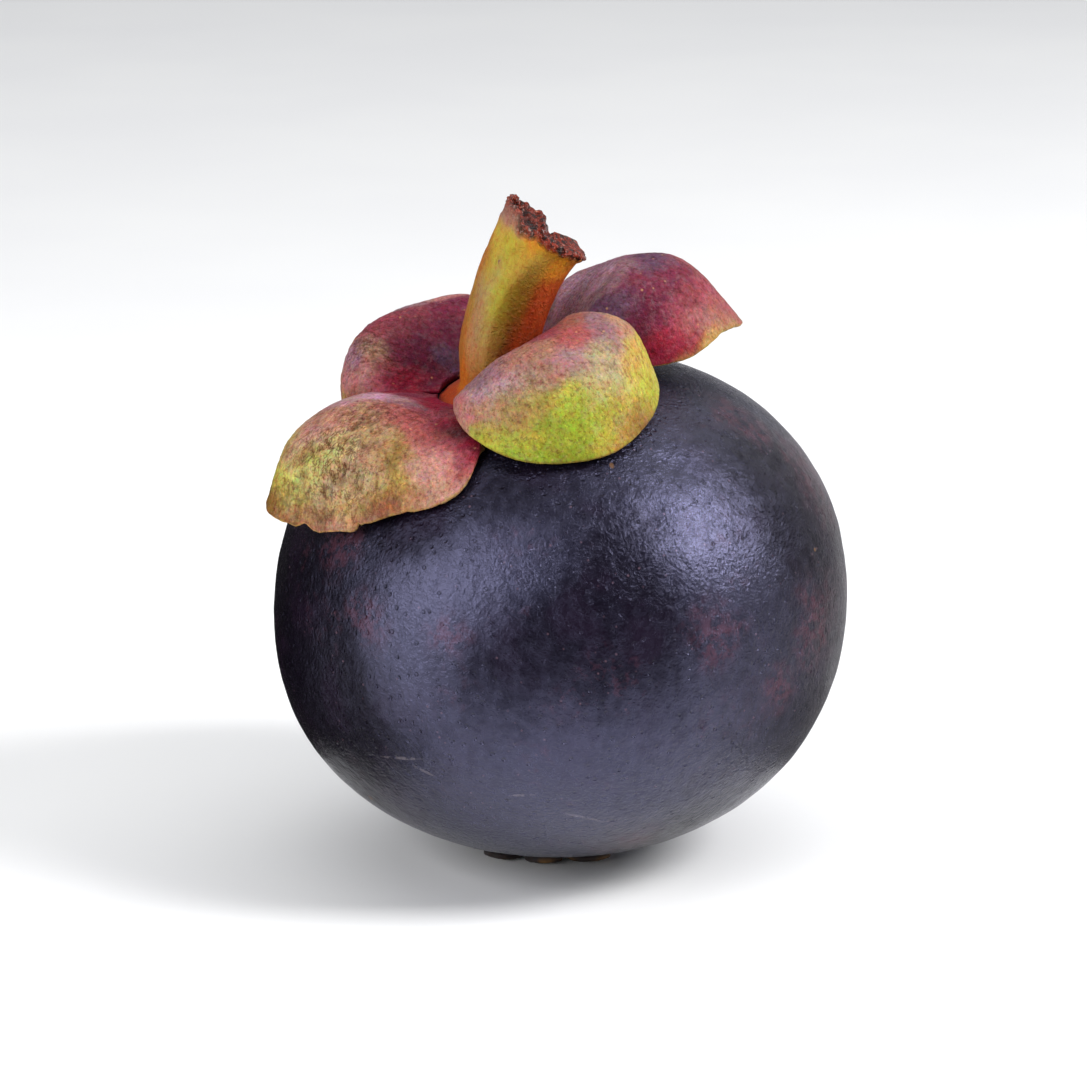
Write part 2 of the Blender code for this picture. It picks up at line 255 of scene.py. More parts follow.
# Crust colours: painted shade for its pits, its red, a painted highlight for its grains' tops and
# painted glints
CRUST_PIT_SHADE = (0.008, 0.002, 0.001)
CRUST_RED = (0.24, 0.020, 0.005)
CRUST_HIGHLIGHT = (0.50, 0.13, 0.06)
CRUST_GLINT = (0.50, 0.30, 0.25)
# Painted shade for the inside of the stem's hollow
HOLLOW_SHADE = (0.012, 0.004, 0.004)
BARK_SCAR = (0.14, 0.07, 0.08)

# Places on the rind, by azimuth and height angle seen from its centre. Dents have a radius and
# a depth in millimetres, stains an angular radius.
RIND_DENTS = [
    (302, 42, 2.0, 0.30), (291, 32, 1.5, 0.25), (299, 27, 1.1, 0.15), (312, 24, 1.3, 0.12),
    (254, 20, 0.7, 0.12), (256, 15, 0.6, 0.10), (250, 17, 0.8, 0.12), (258, 12, 0.6, 0.10),
    (246, 13, 0.7, 0.10), (262, 21, 0.8, 0.10), (40, 25, 1.8, 0.2), (130, -5, 2.2, 0.2),
    (95, 20, 1.5, 0.15), (70, -20, 1.2, 0.15),
]
RIND_STAINS = [
    (352, 30, 12), (342, 47, 9), (330, 4, 9), (318, -6, 6), (301, 8, 7), (291, -45, 8),
    (248, 9, 5), (229, 10, 6), (216, 22, 7), (60, 12, 12), (120, 35, 9), (150, -15, 8),
]
# The bloom's coverage: it is this much everywhere, and more or less round these places
BLOOM_EVERYWHERE = 0.34
# Painted reflections and shade among the bloom's own patches: more bloom where the skin reflects
# the left lamp and, low at the front, the floor; less where its reflections are dark, at the left,
# in the middle and at the right, and under the front left sepal as its shade. The coverage also
# sets how strongly the skin reflects.
RIND_BLOOM_AND_PAINTED_LIGHT = [
    (266, -32, 34, 0.45), (238, 4, 15, 0.45), (262, 25, 10, 0.45), (304, 28, 13, 0.45),
    (192, -8, 36, -0.90), (280, 12, 18, -0.60), (257, 3, 13, -0.42), (246, 20, 12, 0.35),
    (330, 30, 16, -0.60), (256, 37, 10, -0.40), (350, -8, 26, -0.45), (348, 6, 14, -0.40),
    (236, 29, 9, -0.65), (278, 34, 12, -0.20), (300, -48, 18, -0.50), (214, -12, 18, -0.70),
    (40, -30, 30, 0.30), (110, 20, 35, 0.35), (70, -10, 25, -0.35), (140, -30, 25, 0.30),
]
# Where light scars cross the lower rind: azimuth, height angle, length, and lean from level
RIND_SCARS = [(236, -18, 3.6, 10), (241, -20, 1.6, -20), (275, -31, 3.0, -18), (262, -24, 1.8, 5)]
LATEX_DOTS = [(216, -35, 0.35), (284, 44, 0.3), (333, 18, 0.25)]

# Each sepal's tints: a colour, then how far across the sepal and along it each spot of it sits,
# in hundredths. Between the spots the colours run into each other.
SEPAL_TINTS = {
    "sepal_front_left": [
        (MAUVE_PINK, (27, 47), (31, 45), (39, 26), (41, 68)), (LILAC, (32, 36)),
        (MAROON, (44, 15), (75, 23), (5, 60)), (PURPLE_GREY, (50, 30)),
        (WINE, (60, 32), (69, 47), (84, 62), (92, 76), (94, 89)),
        (CRIMSON, (62, 20), (76, 44), (92, 68), (97, 80), (94, 84), (36, 4), (44, 5), (52, 4),
         (52, 14), (60, 7), (70, 3), (7, 26)), (ROSE_BROWN, (40, 52), (50, 47), (48, 97)),
        (TAN, (38, 58), (42, 93), (47, 64), (57, 74)), (YELLOW_OLIVE, (30, 75)),
        (LIME, (35, 86), (44, 75), (42.5, 80), (40, 89)),
        (OLIVE, (35, 92), (66, 71), (67, 82), (15, 85)),
        (PINK, (37, 66), (36, 74), (38, 79), (39, 74.5), (35, 70), (77, 79), (83, 77), (90, 96)),
        (SALMON, (42, 60)), (PALE_LIME, (45, 71), (43, 77), (42, 83), (41, 86)),
        (DARK_OLIVE, (34, 98)), (BROWN, (37, 95), (38, 98), (43, 97), (66, 94), (65, 92)),
        (OLIVE_TAN, (46, 54), (53, 63), (58, 63)), (CREAM, (50, 71), (51, 79), (57, 83), (47, 88)),
        (GREY_TAN, (53, 88)), (PEACH, (54, 97), (83, 88), (76, 91)), (YELLOW, (55, 92)),
        (RED_BROWN, (56, 55), (60, 96)), (GOLD, (68, 87)), (ORANGE_TAN, (70, 95)),
        # The near-black spots on its right side are painted shade.
        (RED, (55, 46), (62, 49), (68, 56), (75, 58)), (PAINTED_SHADE_BLACK, (80, 50), (86, 57)),
        (BRIGHT_RED, (97, 90)), (ROSE, (77, 69), (88, 82)), (PLUM, (70, 10), (30, 20)),
    ],
    "sepal_front_right": [
        (PURPLE_GREY, (10, 40), (26, 56), (73, 60), (68, 68)), (ROSE, (12, 74)),
        (SALMON, (12, 93), (18, 86)), (MAUVE_PINK, (22, 72), (32, 64)),
        (ROSE_BROWN, (38, 58), (46, 52), (48, 69), (85, 30)), (MAROON, (59, 43), (50, 20)),
        (RED_BROWN, (66, 45)), (RED, (62, 57)), (TAN, (79, 70), (28, 83), (93, 55)),
        (GOLD, (72, 82)), (CREAM, (63, 72), (55, 79), (60, 82)), (MAUVE_GREY, (53, 68)),
        (GREY_TAN, (40, 70)), (OLIVE, (40, 78), (33, 86)),
        (LIME, (47, 80), (36, 92), (53, 93), (71, 93), (24, 95)),
        (GREEN, (42, 90), (50, 87), (31, 98)), (YELLOW, (58, 90), (71, 87), (85, 85)),
        (BROWN, (64, 98)), (AMBER_BROWN, (57, 98)), (DARK_GREEN, (40, 98)),
    ],
    "sepal_back_right": [
        (LILAC, (44, 34), (56, 27), (66, 24)),
        (PURPLE_GREY, (34, 44), (30, 32), (38, 50), (80, 20)),
        (DUSK, (18, 38), (18, 52), (8, 30), (42, 59)),
        (PLUM, (29, 54), (33, 70), (27, 68), (16, 75)), (DEEP_PLUM, (11, 66), (20, 67)),
        (WINE, (23, 79), (33, 85), (42, 90), (60, 75)), (ROSE, (28, 89), (85, 90)),
        (CRIMSON, (7, 88), (13, 95)), (GOLD, (17, 103), (24, 103), (31, 103)),
        (CARMINE, (13, 84), (19, 93)), (ROSE_BROWN, (37, 93)), (MAROON, (80, 60)), (TAN, (55, 92)),
    ],
    "sepal_back_left": [
        (PLUM, (33, 39), (22, 46), (50, 30), (70, 32)), (MAROON, (45, 45), (57, 38), (10, 40)),
        (DEEP_PLUM, (57, 26), (38, 20), (72, 21), (90, 12)), (DUSK, (55, 12)),
        (WINE, (65, 45), (55, 52), (83, 36), (98, 44)), (GREY_TAN, (74, 45)),
        (ROSE_BROWN, (80, 42), (75, 85)), (ROSE, (85, 64), (86, 48), (30, 60), (15, 75)),
        (MAUVE_GREY, (78, 58), (40, 58)), (RED_BROWN, (94, 68)), (OLIVE, (95, 80)),
        (CRIMSON, (92, 31), (88, 27), (96, 34), (86, 20), (97, 10)), (CARMINE, (97, 24)),
        (PINK, (50, 80)), (TAN, (40, 95)),
    ],
}
TINT_SOFTNESS = 0.038
TINT_WANDER = 0.030  # how far noise shifts the place where a tint is read

# The stem's tints: a colour, then each spot's angle round the stem from its right side and its
# place on the way up, in hundredths of a turn and of the way
STEM_TINTS = [
    (MAUVE_PINK, (60, 79), (62, 76)), (MAUVE_GREY, (63, 83), (54, 78)), (ROSE_BROWN, (66, 80)),
    (TAN, (57, 74), (60, 50), (67, 38), (36, 40)), (PURPLE_GREY, (57, 83)),
    (RED_BROWN, (60, 87), (54, 86)),
    (YELLOW, (55, 71), (60, 71), (65, 72), (57, 65), (69, 68), (68, 62), (20, 65)),
    (ORANGE_YELLOW, (69, 76), (73, 71), (77, 75), (86, 74), (91, 76), (86, 68), (90, 66)),
    (LIME, (64, 66), (67, 57), (68, 53)),
    (AMBER, (51, 62), (52, 40), (62, 31), (68, 32), (46, 70), (46, 45)),
    (YELLOW_OLIVE, (58, 60), (67.5, 47), (76, 69), (36, 65)), (CREAM, (63, 60), (64, 51)),
    (GOLD, (72, 66), (68.5, 42)), (GREY_TAN, (57, 54), (62, 44), (67, 45)), (PALE_LIME, (63, 55)),
    (AMBER_BROWN, (52, 50), (69, 36), (81, 72), (81, 65)), (ORANGE_TAN, (58, 42), (62, 37)),
    (ORANGE, (56, 32), (58, 26), (63, 24), (96, 76), (95, 66), (6, 70), (20, 40)),
    (OLIVE, (76, 64)), (DARK_OLIVE, (74, 59), (72.5, 53), (80, 59), (79, 53), (72.5, 46)),
    (RUST, (85, 60), (98, 62), (84, 53), (97, 56), (86, 49), (93, 50), (84, 44), (85, 10)),
    (FLAME, (91, 61), (90, 55), (6, 45), (48, 13), (56, 14), (60, 18), (66, 10)),
    (DARK_RUST, (79, 48), (74, 40), (91, 44), (80, 34)), (BRIGHT_RED, (46, 5), (56, 5)),
    (RED, (20, 10), (36, 10)),
]
STEM_TINT_SOFTNESS = 0.028
STEM_TINT_WANDER = (0.012, 0.03)  # round the stem, and up it
STEM_WARMTH = (1.0, 0.86, 0.62)  # what every tint of the stem is multiplied by


# ---------------- shapes
def soft_minimum(a, b, softness):
    share = max(0.0, min(1.0, 0.5 + 0.5 * (b - a) / softness))
    return b + (a - b) * share - softness * share * (1 - share)


def smoothstep(low, high, value):
    share = min(1.0, max(0.0, (value - low) / (high - low)))
    return share * share * (3 - 2 * share)


def through(stations, along):
    """The stations' values at a share of the way along them, on a Catmull-Rom curve."""
    last = len(stations) - 1
    place = min(max(along, 0.0), 1.0) * last
    i = min(int(place), last - 1)
    t = place - i
    values = []
    for k, (a, b) in enumerate(zip(stations[i], stations[i + 1])):
        before = stations[i - 1][k] if i > 0 else 2 * a - b
        after = stations[i + 2][k] if i + 2 <= last else 2 * b - a
        values.append(
            0.5 * (2 * a + (b - before) * t
                   + (2 * before - 5 * a + 4 * b - after) * t * t
                   + (3 * a - before - 3 * b + after) * t ** 3)
        )
    return values


def superellipsoid_radius(direction):
    flat = math.hypot(direction.x, direction.y) / (RIND_WIDTH / 2)
    tall = abs(direction.z) / (RIND_ABOVE if direction.z > 0 else RIND_BELOW)
    return (flat ** RIND_POWER + tall ** RIND_POWER) ** (-1 / RIND_POWER)


def calyx_direction():
    flat = math.hypot(CALYX_ASIDE, CALYX_FORWARD) / (RIND_WIDTH / 2)
    height = RIND_ABOVE * (1 - flat ** RIND_POWER) ** (1 / RIND_POWER)
    return Vector((CALYX_ASIDE, CALYX_FORWARD, height)).normalized()


TO_CALYX = calyx_direction()


def rind_radius(direction):
    """Distance from the rind's centre to its skin, along a unit direction."""
    flat = math.hypot(direction.x, direction.y)
    turn = math.atan2(direction.y, direction.x)
    lean = RIND_LEAN * direction.x * direction.z * flat ** 2
    radius = superellipsoid_radius(direction) * (1 + lean)
    radius += SEGMENT_SWELL * flat ** 4 * math.cos(SEGMENT_COUNT * turn + math.radians(180))
    away = math.degrees(direction.angle(TO_CALYX))
    radius -= DIP_DEPTH * math.exp(-((away / DIP_SPREAD) ** 2))
    if direction.z < FOOT_BELOW:
        to_foot = (RIND_CENTRE.z - FOOT_LEVEL) / -direction.z
        radius = soft_minimum(radius, to_foot, FOOT_SOFTNESS)
    return radius


def off_rind(point, clearance):
    """The point, moved straight out from the rind's centre if it is nearer the skin than that."""
    spoke = point - RIND_CENTRE
    direction = spoke.normalized()
    return RIND_CENTRE + direction * max(spoke.length, rind_radius(direction) + clearance)


def calyx_matrix():
    centre = RIND_CENTRE + TO_CALYX * (rind_radius(TO_CALYX) + CALYX_CLEARANCE)
    lean = Matrix.Rotation(math.radians(CALYX_LEAN_FRONT), 4, "X")
    lean = Matrix.Rotation(math.radians(-CALYX_LEAN_LEFT), 4, "Y") @ lean
    return Matrix.Translation(centre) @ lean


CALYX = calyx_matrix()


def rough(x, y, z, size):
    """Smooth noise from -1 to 1 whose lumps are about that size, in millimetres."""
    return noise.noise(Vector((x / size, y / size, z / size)))


# ---------------- meshes
def linked(name, data):
    obj = bpy.data.objects.new(name, data)
    bpy.context.scene.collection.objects.link(obj)
    return obj


LAYER_KINDS = {"tint": ("FLOAT_COLOR", "color"), "weave": ("FLOAT_VECTOR", "vector")}


def make_object(name, points, faces, material, layers):
    """A smooth closed mesh from points in millimetres, with its per-vertex layers."""
    mesh = bpy.data.meshes.new(name)
    mesh.from_pydata([point * MM for point in points], [], faces)
    for layer, values in layers.items():
        kind, field = LAYER_KINDS.get(layer, ("FLOAT", "value"))
        attribute = mesh.attributes.new(layer, kind, "POINT")
        attribute.data.foreach_set(field, np.ravel(values).tolist())
    mesh.materials.append(material)
    mesh.shade_smooth()
    bm = bmesh.new()
    bm.from_mesh(mesh)
    bmesh.ops.recalc_face_normals(bm, faces=bm.faces)
    bm.to_mesh(mesh)
    bm.free()
    return linked(name, mesh)


def bridged(ring, next_ring):
    """The quads between two closed rings with the same number of points."""
    turned, next_turned = ring[1:] + ring[:1], next_ring[1:] + next_ring[:1]
    return list(zip(ring, turned, next_turned, next_ring))


def install(obj, node):
    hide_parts(node)
    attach(obj, "root")


def facing(azimuth, height):
    azimuth, height = math.radians(azimuth), math.radians(height)
    level = math.cos(height)
    return Vector((level * math.cos(azimuth), level * math.sin(azimuth), math.sin(height)))


DENTS = [(facing(azimuth, height), size, depth) for azimuth, height, size, depth in RIND_DENTS]
BLOOM_AND_LIGHT_PATCHES = [(facing(azimuth, height), size, change) for azimuth, height, size, change in RIND_BLOOM_AND_PAINTED_LIGHT]
STAINS = [(facing(azimuth, height), size) for azimuth, height, size in RIND_STAINS]


def rind_relief(direction):
    """Height of the skin's dents, wrinkles and pits over its plain shape."""
    x, y, z = direction * (RIND_WIDTH / 2)
    height = 0.10 * rough(x, y, z, 9.0) + 0.06 * rough(x, y, z + 40, 3.6)
    height += 0.022 * rough(x, y, z * 0.8 + 90, 1.4)
    height -= 0.035 * abs(rough(x, y + 70, z * 0.8, 1.2))
    for centre, size, depth in DENTS:
        away = (direction - centre).length * RIND_WIDTH / 2 / size
        if away < 2.5:
            height -= depth * math.exp(-away ** 2 * (1 + 0.6 * rough(x, y, z, 0.8)))
    return height


# The bloom's coverage at a place, with its patches of painted reflection and shade
def rind_bloom_and_painted_light(direction):
    x, y, z = direction * (RIND_WIDTH / 2)
    bloom = BLOOM_EVERYWHERE + 0.08 * rough(x, y, z * 0.5, 4.0) + 0.12 * rough(x, y, z * 0.4, 1.2)
    for centre, size, change in BLOOM_AND_LIGHT_PATCHES:
        away = (direction - centre).length / math.radians(size)
        if away < 2:
            bloom += change * math.exp(-away ** 2 * 1.2)
    return min(1.0, max(0.0, bloom))


def rind_stain(direction):
    x, y, z = direction * (RIND_WIDTH / 2)
    stain = 0.0
    for centre, size in STAINS:
        away = (direction - centre).length / math.radians(size)
        stain = max(stain, 1 - smoothstep(0.3, 1.3, away + 0.5 * rough(x, y, z, 2.5)))
    return stain


def make_rind(material):
    n = RIND_FACE_STEPS
    points, faces, index = [], [], {}
    layers = {"stain": [], "bloom": []}

    def vertex(cell):
        """The point that a place on the cube's surface is pushed out to, made once."""
        if cell not in index:
            even = [math.tan(math.pi / 4 * (2 * c / n - 1)) for c in cell]
            direction = Vector(even).normalized()
            reach = rind_radius(direction) + rind_relief(direction)
            index[cell] = len(points)
            points.append(RIND_CENTRE + direction * reach)
            layers["stain"].append(rind_stain(direction))
            layers["bloom"].append(rind_bloom_and_painted_light(direction))
        return index[cell]

    for axis, side, i, j in product(range(3), (0, n), range(n), range(n)):
        face = []
        for di, dj in ((0, 0), (1, 0), (1, 1), (0, 1)):
            cell = [0, 0, 0]
            cell[axis] = side
            cell[(axis + 1) % 3] = i + di
            cell[(axis + 2) % 3] = j + dj
            face.append(vertex(tuple(cell)))
        faces.append(face)
    install(make_object("rind_skin", points, faces, material, layers), "rind")


def sepal_point(spec, along, across):
    first_root, last_root = spec["roots"]
    root_azimuth = first_root + (last_root - first_root) * across
    azimuth, *profile = through(spec["ribs"], across)
    knots = [(SEPAL_ROOT, SEPAL_ROOT_RISE)] + list(zip(profile[::2], profile[1::2]))
    reach, rise = through(knots, along)
    spread = smoothstep(0.0, FANNED_BY, along)
    turn = math.radians(root_azimuth + (azimuth - root_azimuth) * spread)
    return Vector((reach * math.cos(turn), reach * math.sin(turn), rise))


def rim_share(spec, across, seed):
    """How far along its ribs the sepal reaches there: rounded at the corners, torn elsewhere."""
    side = abs(2 * across - 1)
    corner, rounded_from = spec["corners"][0 if across < 0.5 else 1]
    turned = min(1.0, max(0.0, (side - rounded_from) / (1 - rounded_from)))
    torn = 0.010 * rough(across * 9, seed, 0, 1.0) + 0.005 * rough(across * 26, seed, 5, 1.0)
    torn += 0.002 * rough(across * 60, seed, 9, 1.0)
    return 1 - corner * (1 - math.sqrt(1 - turned ** 2)) - spec["ragged"] * (0.014 + torn)


def torn_front_left(across):
    """The tear across the middle of the front left sepal's rim, and its blunt broken tip."""
    nick = 0.022 * max(0.0, 1 - abs(across - 0.575) / 0.008)
    short_of_nick = 0.016 * smoothstep(0.57, 0.59, across)
    tip = 0.022 * max(0.0, 1 - abs(across - 0.44) / 0.02)
    return nick + short_of_nick + tip


def worn(spec, along, across, seed):
    """How crinkled the sepal's skin is there, which comes and goes in patches."""
    patches = smoothstep(-0.3, 0.4, rough(across * 26 + seed, along * 24, seed, 8.0))
    centre_across, centre_along, size = spec["worn_at"]
    away = math.hypot(across - centre_across, 0.6 * (along - centre_along)) / size
    return spec["crinkle"] * (0.4 + 0.6 * patches) * (0.35 + math.exp(-away ** 2))


def sepal_relief(point, along, across, spec, seed):
    """Height of the furrows, cracks and grain of a sepal's skin, in millimetres."""
    x, y, z = point
    u, v = across * 26 + seed, along * 24
    furrow = rough(u, v * 0.40, seed, 0.8)
    fine = rough(u, v * 0.60, seed + 9, 0.4)
    crack = max(0.0, 1 - abs(rough(u, v * 0.35, seed + 20, 1.0)) / 0.16)
    crease = max(0.0, 1 - abs(rough(u * 0.6, v, seed + 30, 1.0)) / 0.16)
    grain = rough(x, y, z + seed, 0.6)
    lumps = rough(x + seed, y, z, 3.4)
    height = 0.14 * furrow + 0.14 * fine - 0.18 * crack - 0.10 * crease
    height *= worn(spec, along, across, seed)
    return smoothstep(0.12, 0.35, along) * (height + 0.045 * grain + 0.10 * lumps)


def painted(tints, across, along, softness):
    """Colours where each place is read among the tints, nearer tints counting for more."""
    total = np.full(across.shape, 1e-12)
    colour = np.zeros(across.shape + (3,))
    for tint, *spots in tints:
        for spot_across, spot_along in spots:
            away = (across - spot_across / 100) ** 2 + (along - spot_along / 100) ** 2
            weight = np.exp(-away / (2 * softness ** 2)) + 1e-7 / (0.01 + away)
            weight += 0.004 * np.exp(-away / (2 * (3.5 * softness) ** 2))
            total += weight
            colour += weight[..., None] * np.array(tint)
    return colour / total[..., None]


def unit(vectors):
    return vectors / (np.linalg.norm(vectors, axis=-1, keepdims=True) + 1e-12)


def sepal_grid(name, spec, seed):
    """The top's points, the thickness under each, and where its tint is read."""
    shape = (SEPAL_ROWS + 1, SEPAL_COLUMNS + 1)
    top, thickness = np.zeros(shape + (3,)), np.zeros(shape)
    read_across, read_along = np.zeros(shape), np.zeros(shape)
    for j in range(SEPAL_COLUMNS + 1):
        across = j / SEPAL_COLUMNS
        end = rim_share(spec, across, seed)
        if name == "sepal_front_left":
            end -= torn_front_left(across)
        for i in range(SEPAL_ROWS + 1):
            along = i / SEPAL_ROWS
            reach = along * (1 - (1 - end) * smoothstep(0.45, 1.0, along))
            edge = max(abs(2 * across - 1), along) ** 3
            thinned = SEPAL_ROOT_SHARE + (1 - SEPAL_ROOT_SHARE) * smoothstep(0.0, 0.3, along)
            thickness[i, j] = SEPAL_THICKNESS * (1 - (1 - SEPAL_EDGE) * edge) * thinned
            point = CALYX @ sepal_point(spec, reach, across)
            x, y, z = top[i, j] = off_rind(point, SEPAL_CLEARANCE + thickness[i, j])
            wander = rough(x, y, z + 50, 2.6) + 0.6 * rough(x, y, z + 90, 0.9)
            read_across[i, j] = across + TINT_WANDER * wander
            wander = rough(x + 50, y, z, 2.6) + 0.6 * rough(x + 90, y, z, 0.9)
            read_along[i, j] = reach + TINT_WANDER * wander
    return top, thickness, read_across, read_along


def make_sepal(name, spec, material, seed):
    """Top and underside grids joined by a rounded edge strip."""
    rows, columns = SEPAL_ROWS, SEPAL_COLUMNS
    top, thickness, read_across, read_along = sepal_grid(name, spec, seed)
    colours = painted(SEPAL_TINTS[name], read_across, read_along, TINT_SOFTNESS)
    # The undersides are darkened with painted shade
    under = (1 - SHADED_UNDERSIDE_SHARE) * colours + SHADED_UNDERSIDE_SHARE * np.array(SHADED_UNDERSIDE)
    d_along, d_across = unit(np.gradient(top, axis=0)), unit(np.gradient(top, axis=1))
    normal = unit(np.cross(d_along, d_across))
    outward = top[rows // 2, columns // 2] - np.array(RIND_CENTRE)
    normal *= np.sign(normal[rows // 2, columns // 2] @ outward)
    points, layers = [], {"tint": [], "relief_shade": [], "worn": [], "weave": []}

    def add(point, i, j, colour, relief_shade=0.0):
        points.append(Vector(point))
        layers["tint"].append((*colour, 1.0))
        layers["relief_shade"].append(relief_shade)
        layers["worn"].append(worn(spec, i / rows, j / columns, seed))
        layers["weave"].append((30 * j / columns, 26 * i / rows, seed))
        return len(points) - 1

    upper, lower, faces = {}, {}, []
    for i, j in product(range(rows + 1), range(columns + 1)):
        relief = sepal_relief(top[i, j], i / rows, j / columns, spec, seed)
        # Painted shade: how far the tint is darkened where the relief sinks into a hollow
        relief_shade = smoothstep(0.02, 0.22, 0.04 - relief)
        upper[i, j] = add(top[i, j] + normal[i, j] * relief, i, j, colours[i, j], relief_shade)
        lower[i, j] = add(top[i, j] - normal[i, j] * thickness[i, j], i, j, under[i, j])
    for i, j in product(range(rows), range(columns)):
        faces.append((upper[i, j], upper[i + 1, j], upper[i + 1, j + 1], upper[i, j + 1]))
        faces.append((lower[i, j], lower[i, j + 1], lower[i + 1, j + 1], lower[i + 1, j]))
    border = [(0, j) for j in range(columns)] + [(i, columns) for i in range(rows)]
    border += [(rows, j) for j in range(columns, 0, -1)] + [(i, 0) for i in range(rows, 0, -1)]
    strips = []
    for i, j in border:
        out = np.zeros(3)
        if i in (0, rows):
            out += d_along[i, j] * (1 if i else -1)
        if j in (0, columns):
            out += d_across[i, j] * (1 if j else -1)
        out /= np.linalg.norm(out)
        a, b = np.array(points[upper[i, j]]), np.array(points[lower[i, j]])
        middle, half = (a + b) / 2, (a - b) / 2
        bulge = np.linalg.norm(half) * (0.35 + 0.35 * (i == rows))
        edged = 0.65 * smoothstep(0.35, 0.7, i / rows)
        rim = (1 - edged) * colours[i, j] + edged * np.array(spec["rim"])
        strip = [upper[i, j]]
        for k in range(1, SEPAL_EDGE_STEPS):
            turn = math.pi * k / SEPAL_EDGE_STEPS
            bend = half * math.cos(turn) + out * bulge * math.sin(turn)
            strip.append(add(middle + bend, i, j, rim))
        strips.append(strip + [lower[i, j]])
    for strip, following in zip(strips, strips[1:] + strips[:1]):
        for k in range(SEPAL_EDGE_STEPS):
            faces.append((strip[k], following[k], following[k + 1], strip[k + 1]))
    install(make_object(name + "_skin", points, faces, material, layers), name)


def between_rings(rings, share):
    """How far the stem's share has come from the first of two rings to the second, smoothly."""
    last = len(STEM_RINGS) - 1
    return smoothstep(rings[0] / last, rings[1] / last, share)


def round_place(turned, place, width):
    return math.exp(-((turned - place) / width) ** 2)


def make_stem(material):
    """The collar and stem as one pile of leaning rings, crumbled and notched at the cut end."""
    points, layers, faces, rings = [], {"crust": [], "hollow": []}, [], []
    read_turn, read_share = [], []
    for i in range(STEM_LEVELS + 1):
        share = i / STEM_LEVELS
        aside, back, height, lean_right, lean_back, radius, squareness = through(STEM_RINGS, share)
        lean = Matrix.Rotation(math.radians(lean_right), 3, "Y")
        lean = Matrix.Rotation(math.radians(-lean_back), 3, "X") @ lean
        power = ROUND_POWER + (SQUARE_POWER - ROUND_POWER) * squareness
        corner = radius * (1 + SQUARE_SPREAD * squareness)
        crust = between_rings(CRUST_RINGS, share)
        inside = between_rings(INSIDE_RINGS, share)
        ring = []
        for j in range(STEM_SEGMENTS):
            turned = j / STEM_SEGMENTS
            turn = 2 * math.pi * turned
            edge = turn + math.radians(RIDGE_TWIST) * (1 - smoothstep(*UNTWISTED, share))
            side = abs(math.cos(edge)) ** power + abs(math.sin(edge)) ** power
            x, y = math.cos(turn) * STEM_RADIUS, math.sin(turn) * STEM_RADIUS
            grown = 0.10 * rough(x, y, height / 6, 0.9) + 0.05 * rough(x, y, height / 2 + 9, 0.5)
            grown -= 0.07 * max(0.0, 1 - abs(rough(x, y, height / 8, 1.3)) / 0.15)
            crumbs = 0.32 * rough(x, y, share * 30, 0.9) + 0.24 * rough(x, y, share * 34, 0.4)
            reach = corner * side ** (-1 / power) + grown * (1 - crust) + crumbs * crust
            notch = sum(depth * round_place(turned, *place) for *place, depth in NOTCHES)
            sunk = inside * round_place(turned, *OPEN_SIDE)
            lift = crust * (0.5 * rough(x, y, 3, 1.3) + 0.35 * rough(x, y, 7, 0.5))
            lift -= notch * between_rings(NOTCH_RINGS, share) + HOLLOW_SINK * sunk
            point = Vector((aside, back, height)) + lean @ Vector(
                (reach * math.cos(turn), reach * math.sin(turn), lift)
            )
            ring.append(len(points))
            points.append(off_rind(CALYX @ point, 0.15))
            wander = rough(x, y, height / 3, 1.2) + 0.5 * rough(x, y, height / 3, 0.4)
            read_turn.append(turned + STEM_TINT_WANDER[0] * wander)
            wander = rough(x, y, height / 3 + 5, 1.2) + 0.5 * rough(x, y, height / 2 + 5, 0.4)
            read_share.append(share + STEM_TINT_WANDER[1] * wander)
            # Where the painted shade inside the hollow goes
            layers["hollow"].append(min(1.0, 1.5 * sunk))
            ragged = 0.45 * (rough(x, y, 1, 1.2) + 0.7 * rough(x, y, 4, 0.4))
            crusted = between_rings(CRUST_RINGS, share + ragged / (len(STEM_RINGS) - 1))
            film = round_place(turned, *FILM) * (1 - between_rings(FILM_END_RINGS, share))
            layers["crust"].append(crusted * (1 - 0.85 * film))
        rings.append(ring)
    colours = painted(STEM_TINTS, np.array(read_turn), np.array(read_share), STEM_TINT_SOFTNESS)
    layers["tint"] = [(*colour, 1.0) for colour in colours * np.array(STEM_WARMTH)]
    for lower, upper in zip(rings, rings[1:]):
        faces += bridged(lower, upper)
    faces.append(tuple(reversed(rings[0])))
    faces.append(tuple(rings[-1]))
    install(make_object("stem_bark", points, faces, material, layers), "stem")


def lobe_outline(turn):
    place = SEGMENT_COUNT * turn / (2 * math.pi)
    reach = LOBE_REACHES[round(place) % SEGMENT_COUNT]
    fullness = (0.5 + 0.5 * math.cos(2 * math.pi * place)) ** LOBE_FULLNESS
    return LOBE_ROOT + (reach - LOBE_ROOT) * fullness


def rosette_point(turn, share, top):
    """A point of the rosette's skin, at a share of the way from the middle to the edge."""
    reach = lobe_outline(turn) * share
    x, y = reach * math.cos(turn), reach * math.sin(turn)
    keel = 0.5 + 0.5 * math.cos(SEGMENT_COUNT * turn)
    risen = max(0.0, (share - LEVEL_SHARE) / (1 - LEVEL_SHARE))
    height = TIP_RISE * keel * risen ** 2
    hollowed = max(0.0, (share - HOLLOWS_FROM) / (1 - HOLLOWS_FROM))
    grain = rough(x, y, 3, 0.9) + 0.6 * rough(x, y, 8, 0.45)
    if top:
        height += ROSETTE_THICKNESS * (1 - EDGE_THINNING * share ** 4)
        height += 0.10 * grain - 0.05
    else:
        height += HOLLOW_DEPTH * (1 - keel) * hollowed
        height += 0.12 * hollowed * abs(grain)
    return Vector((x, y, height))


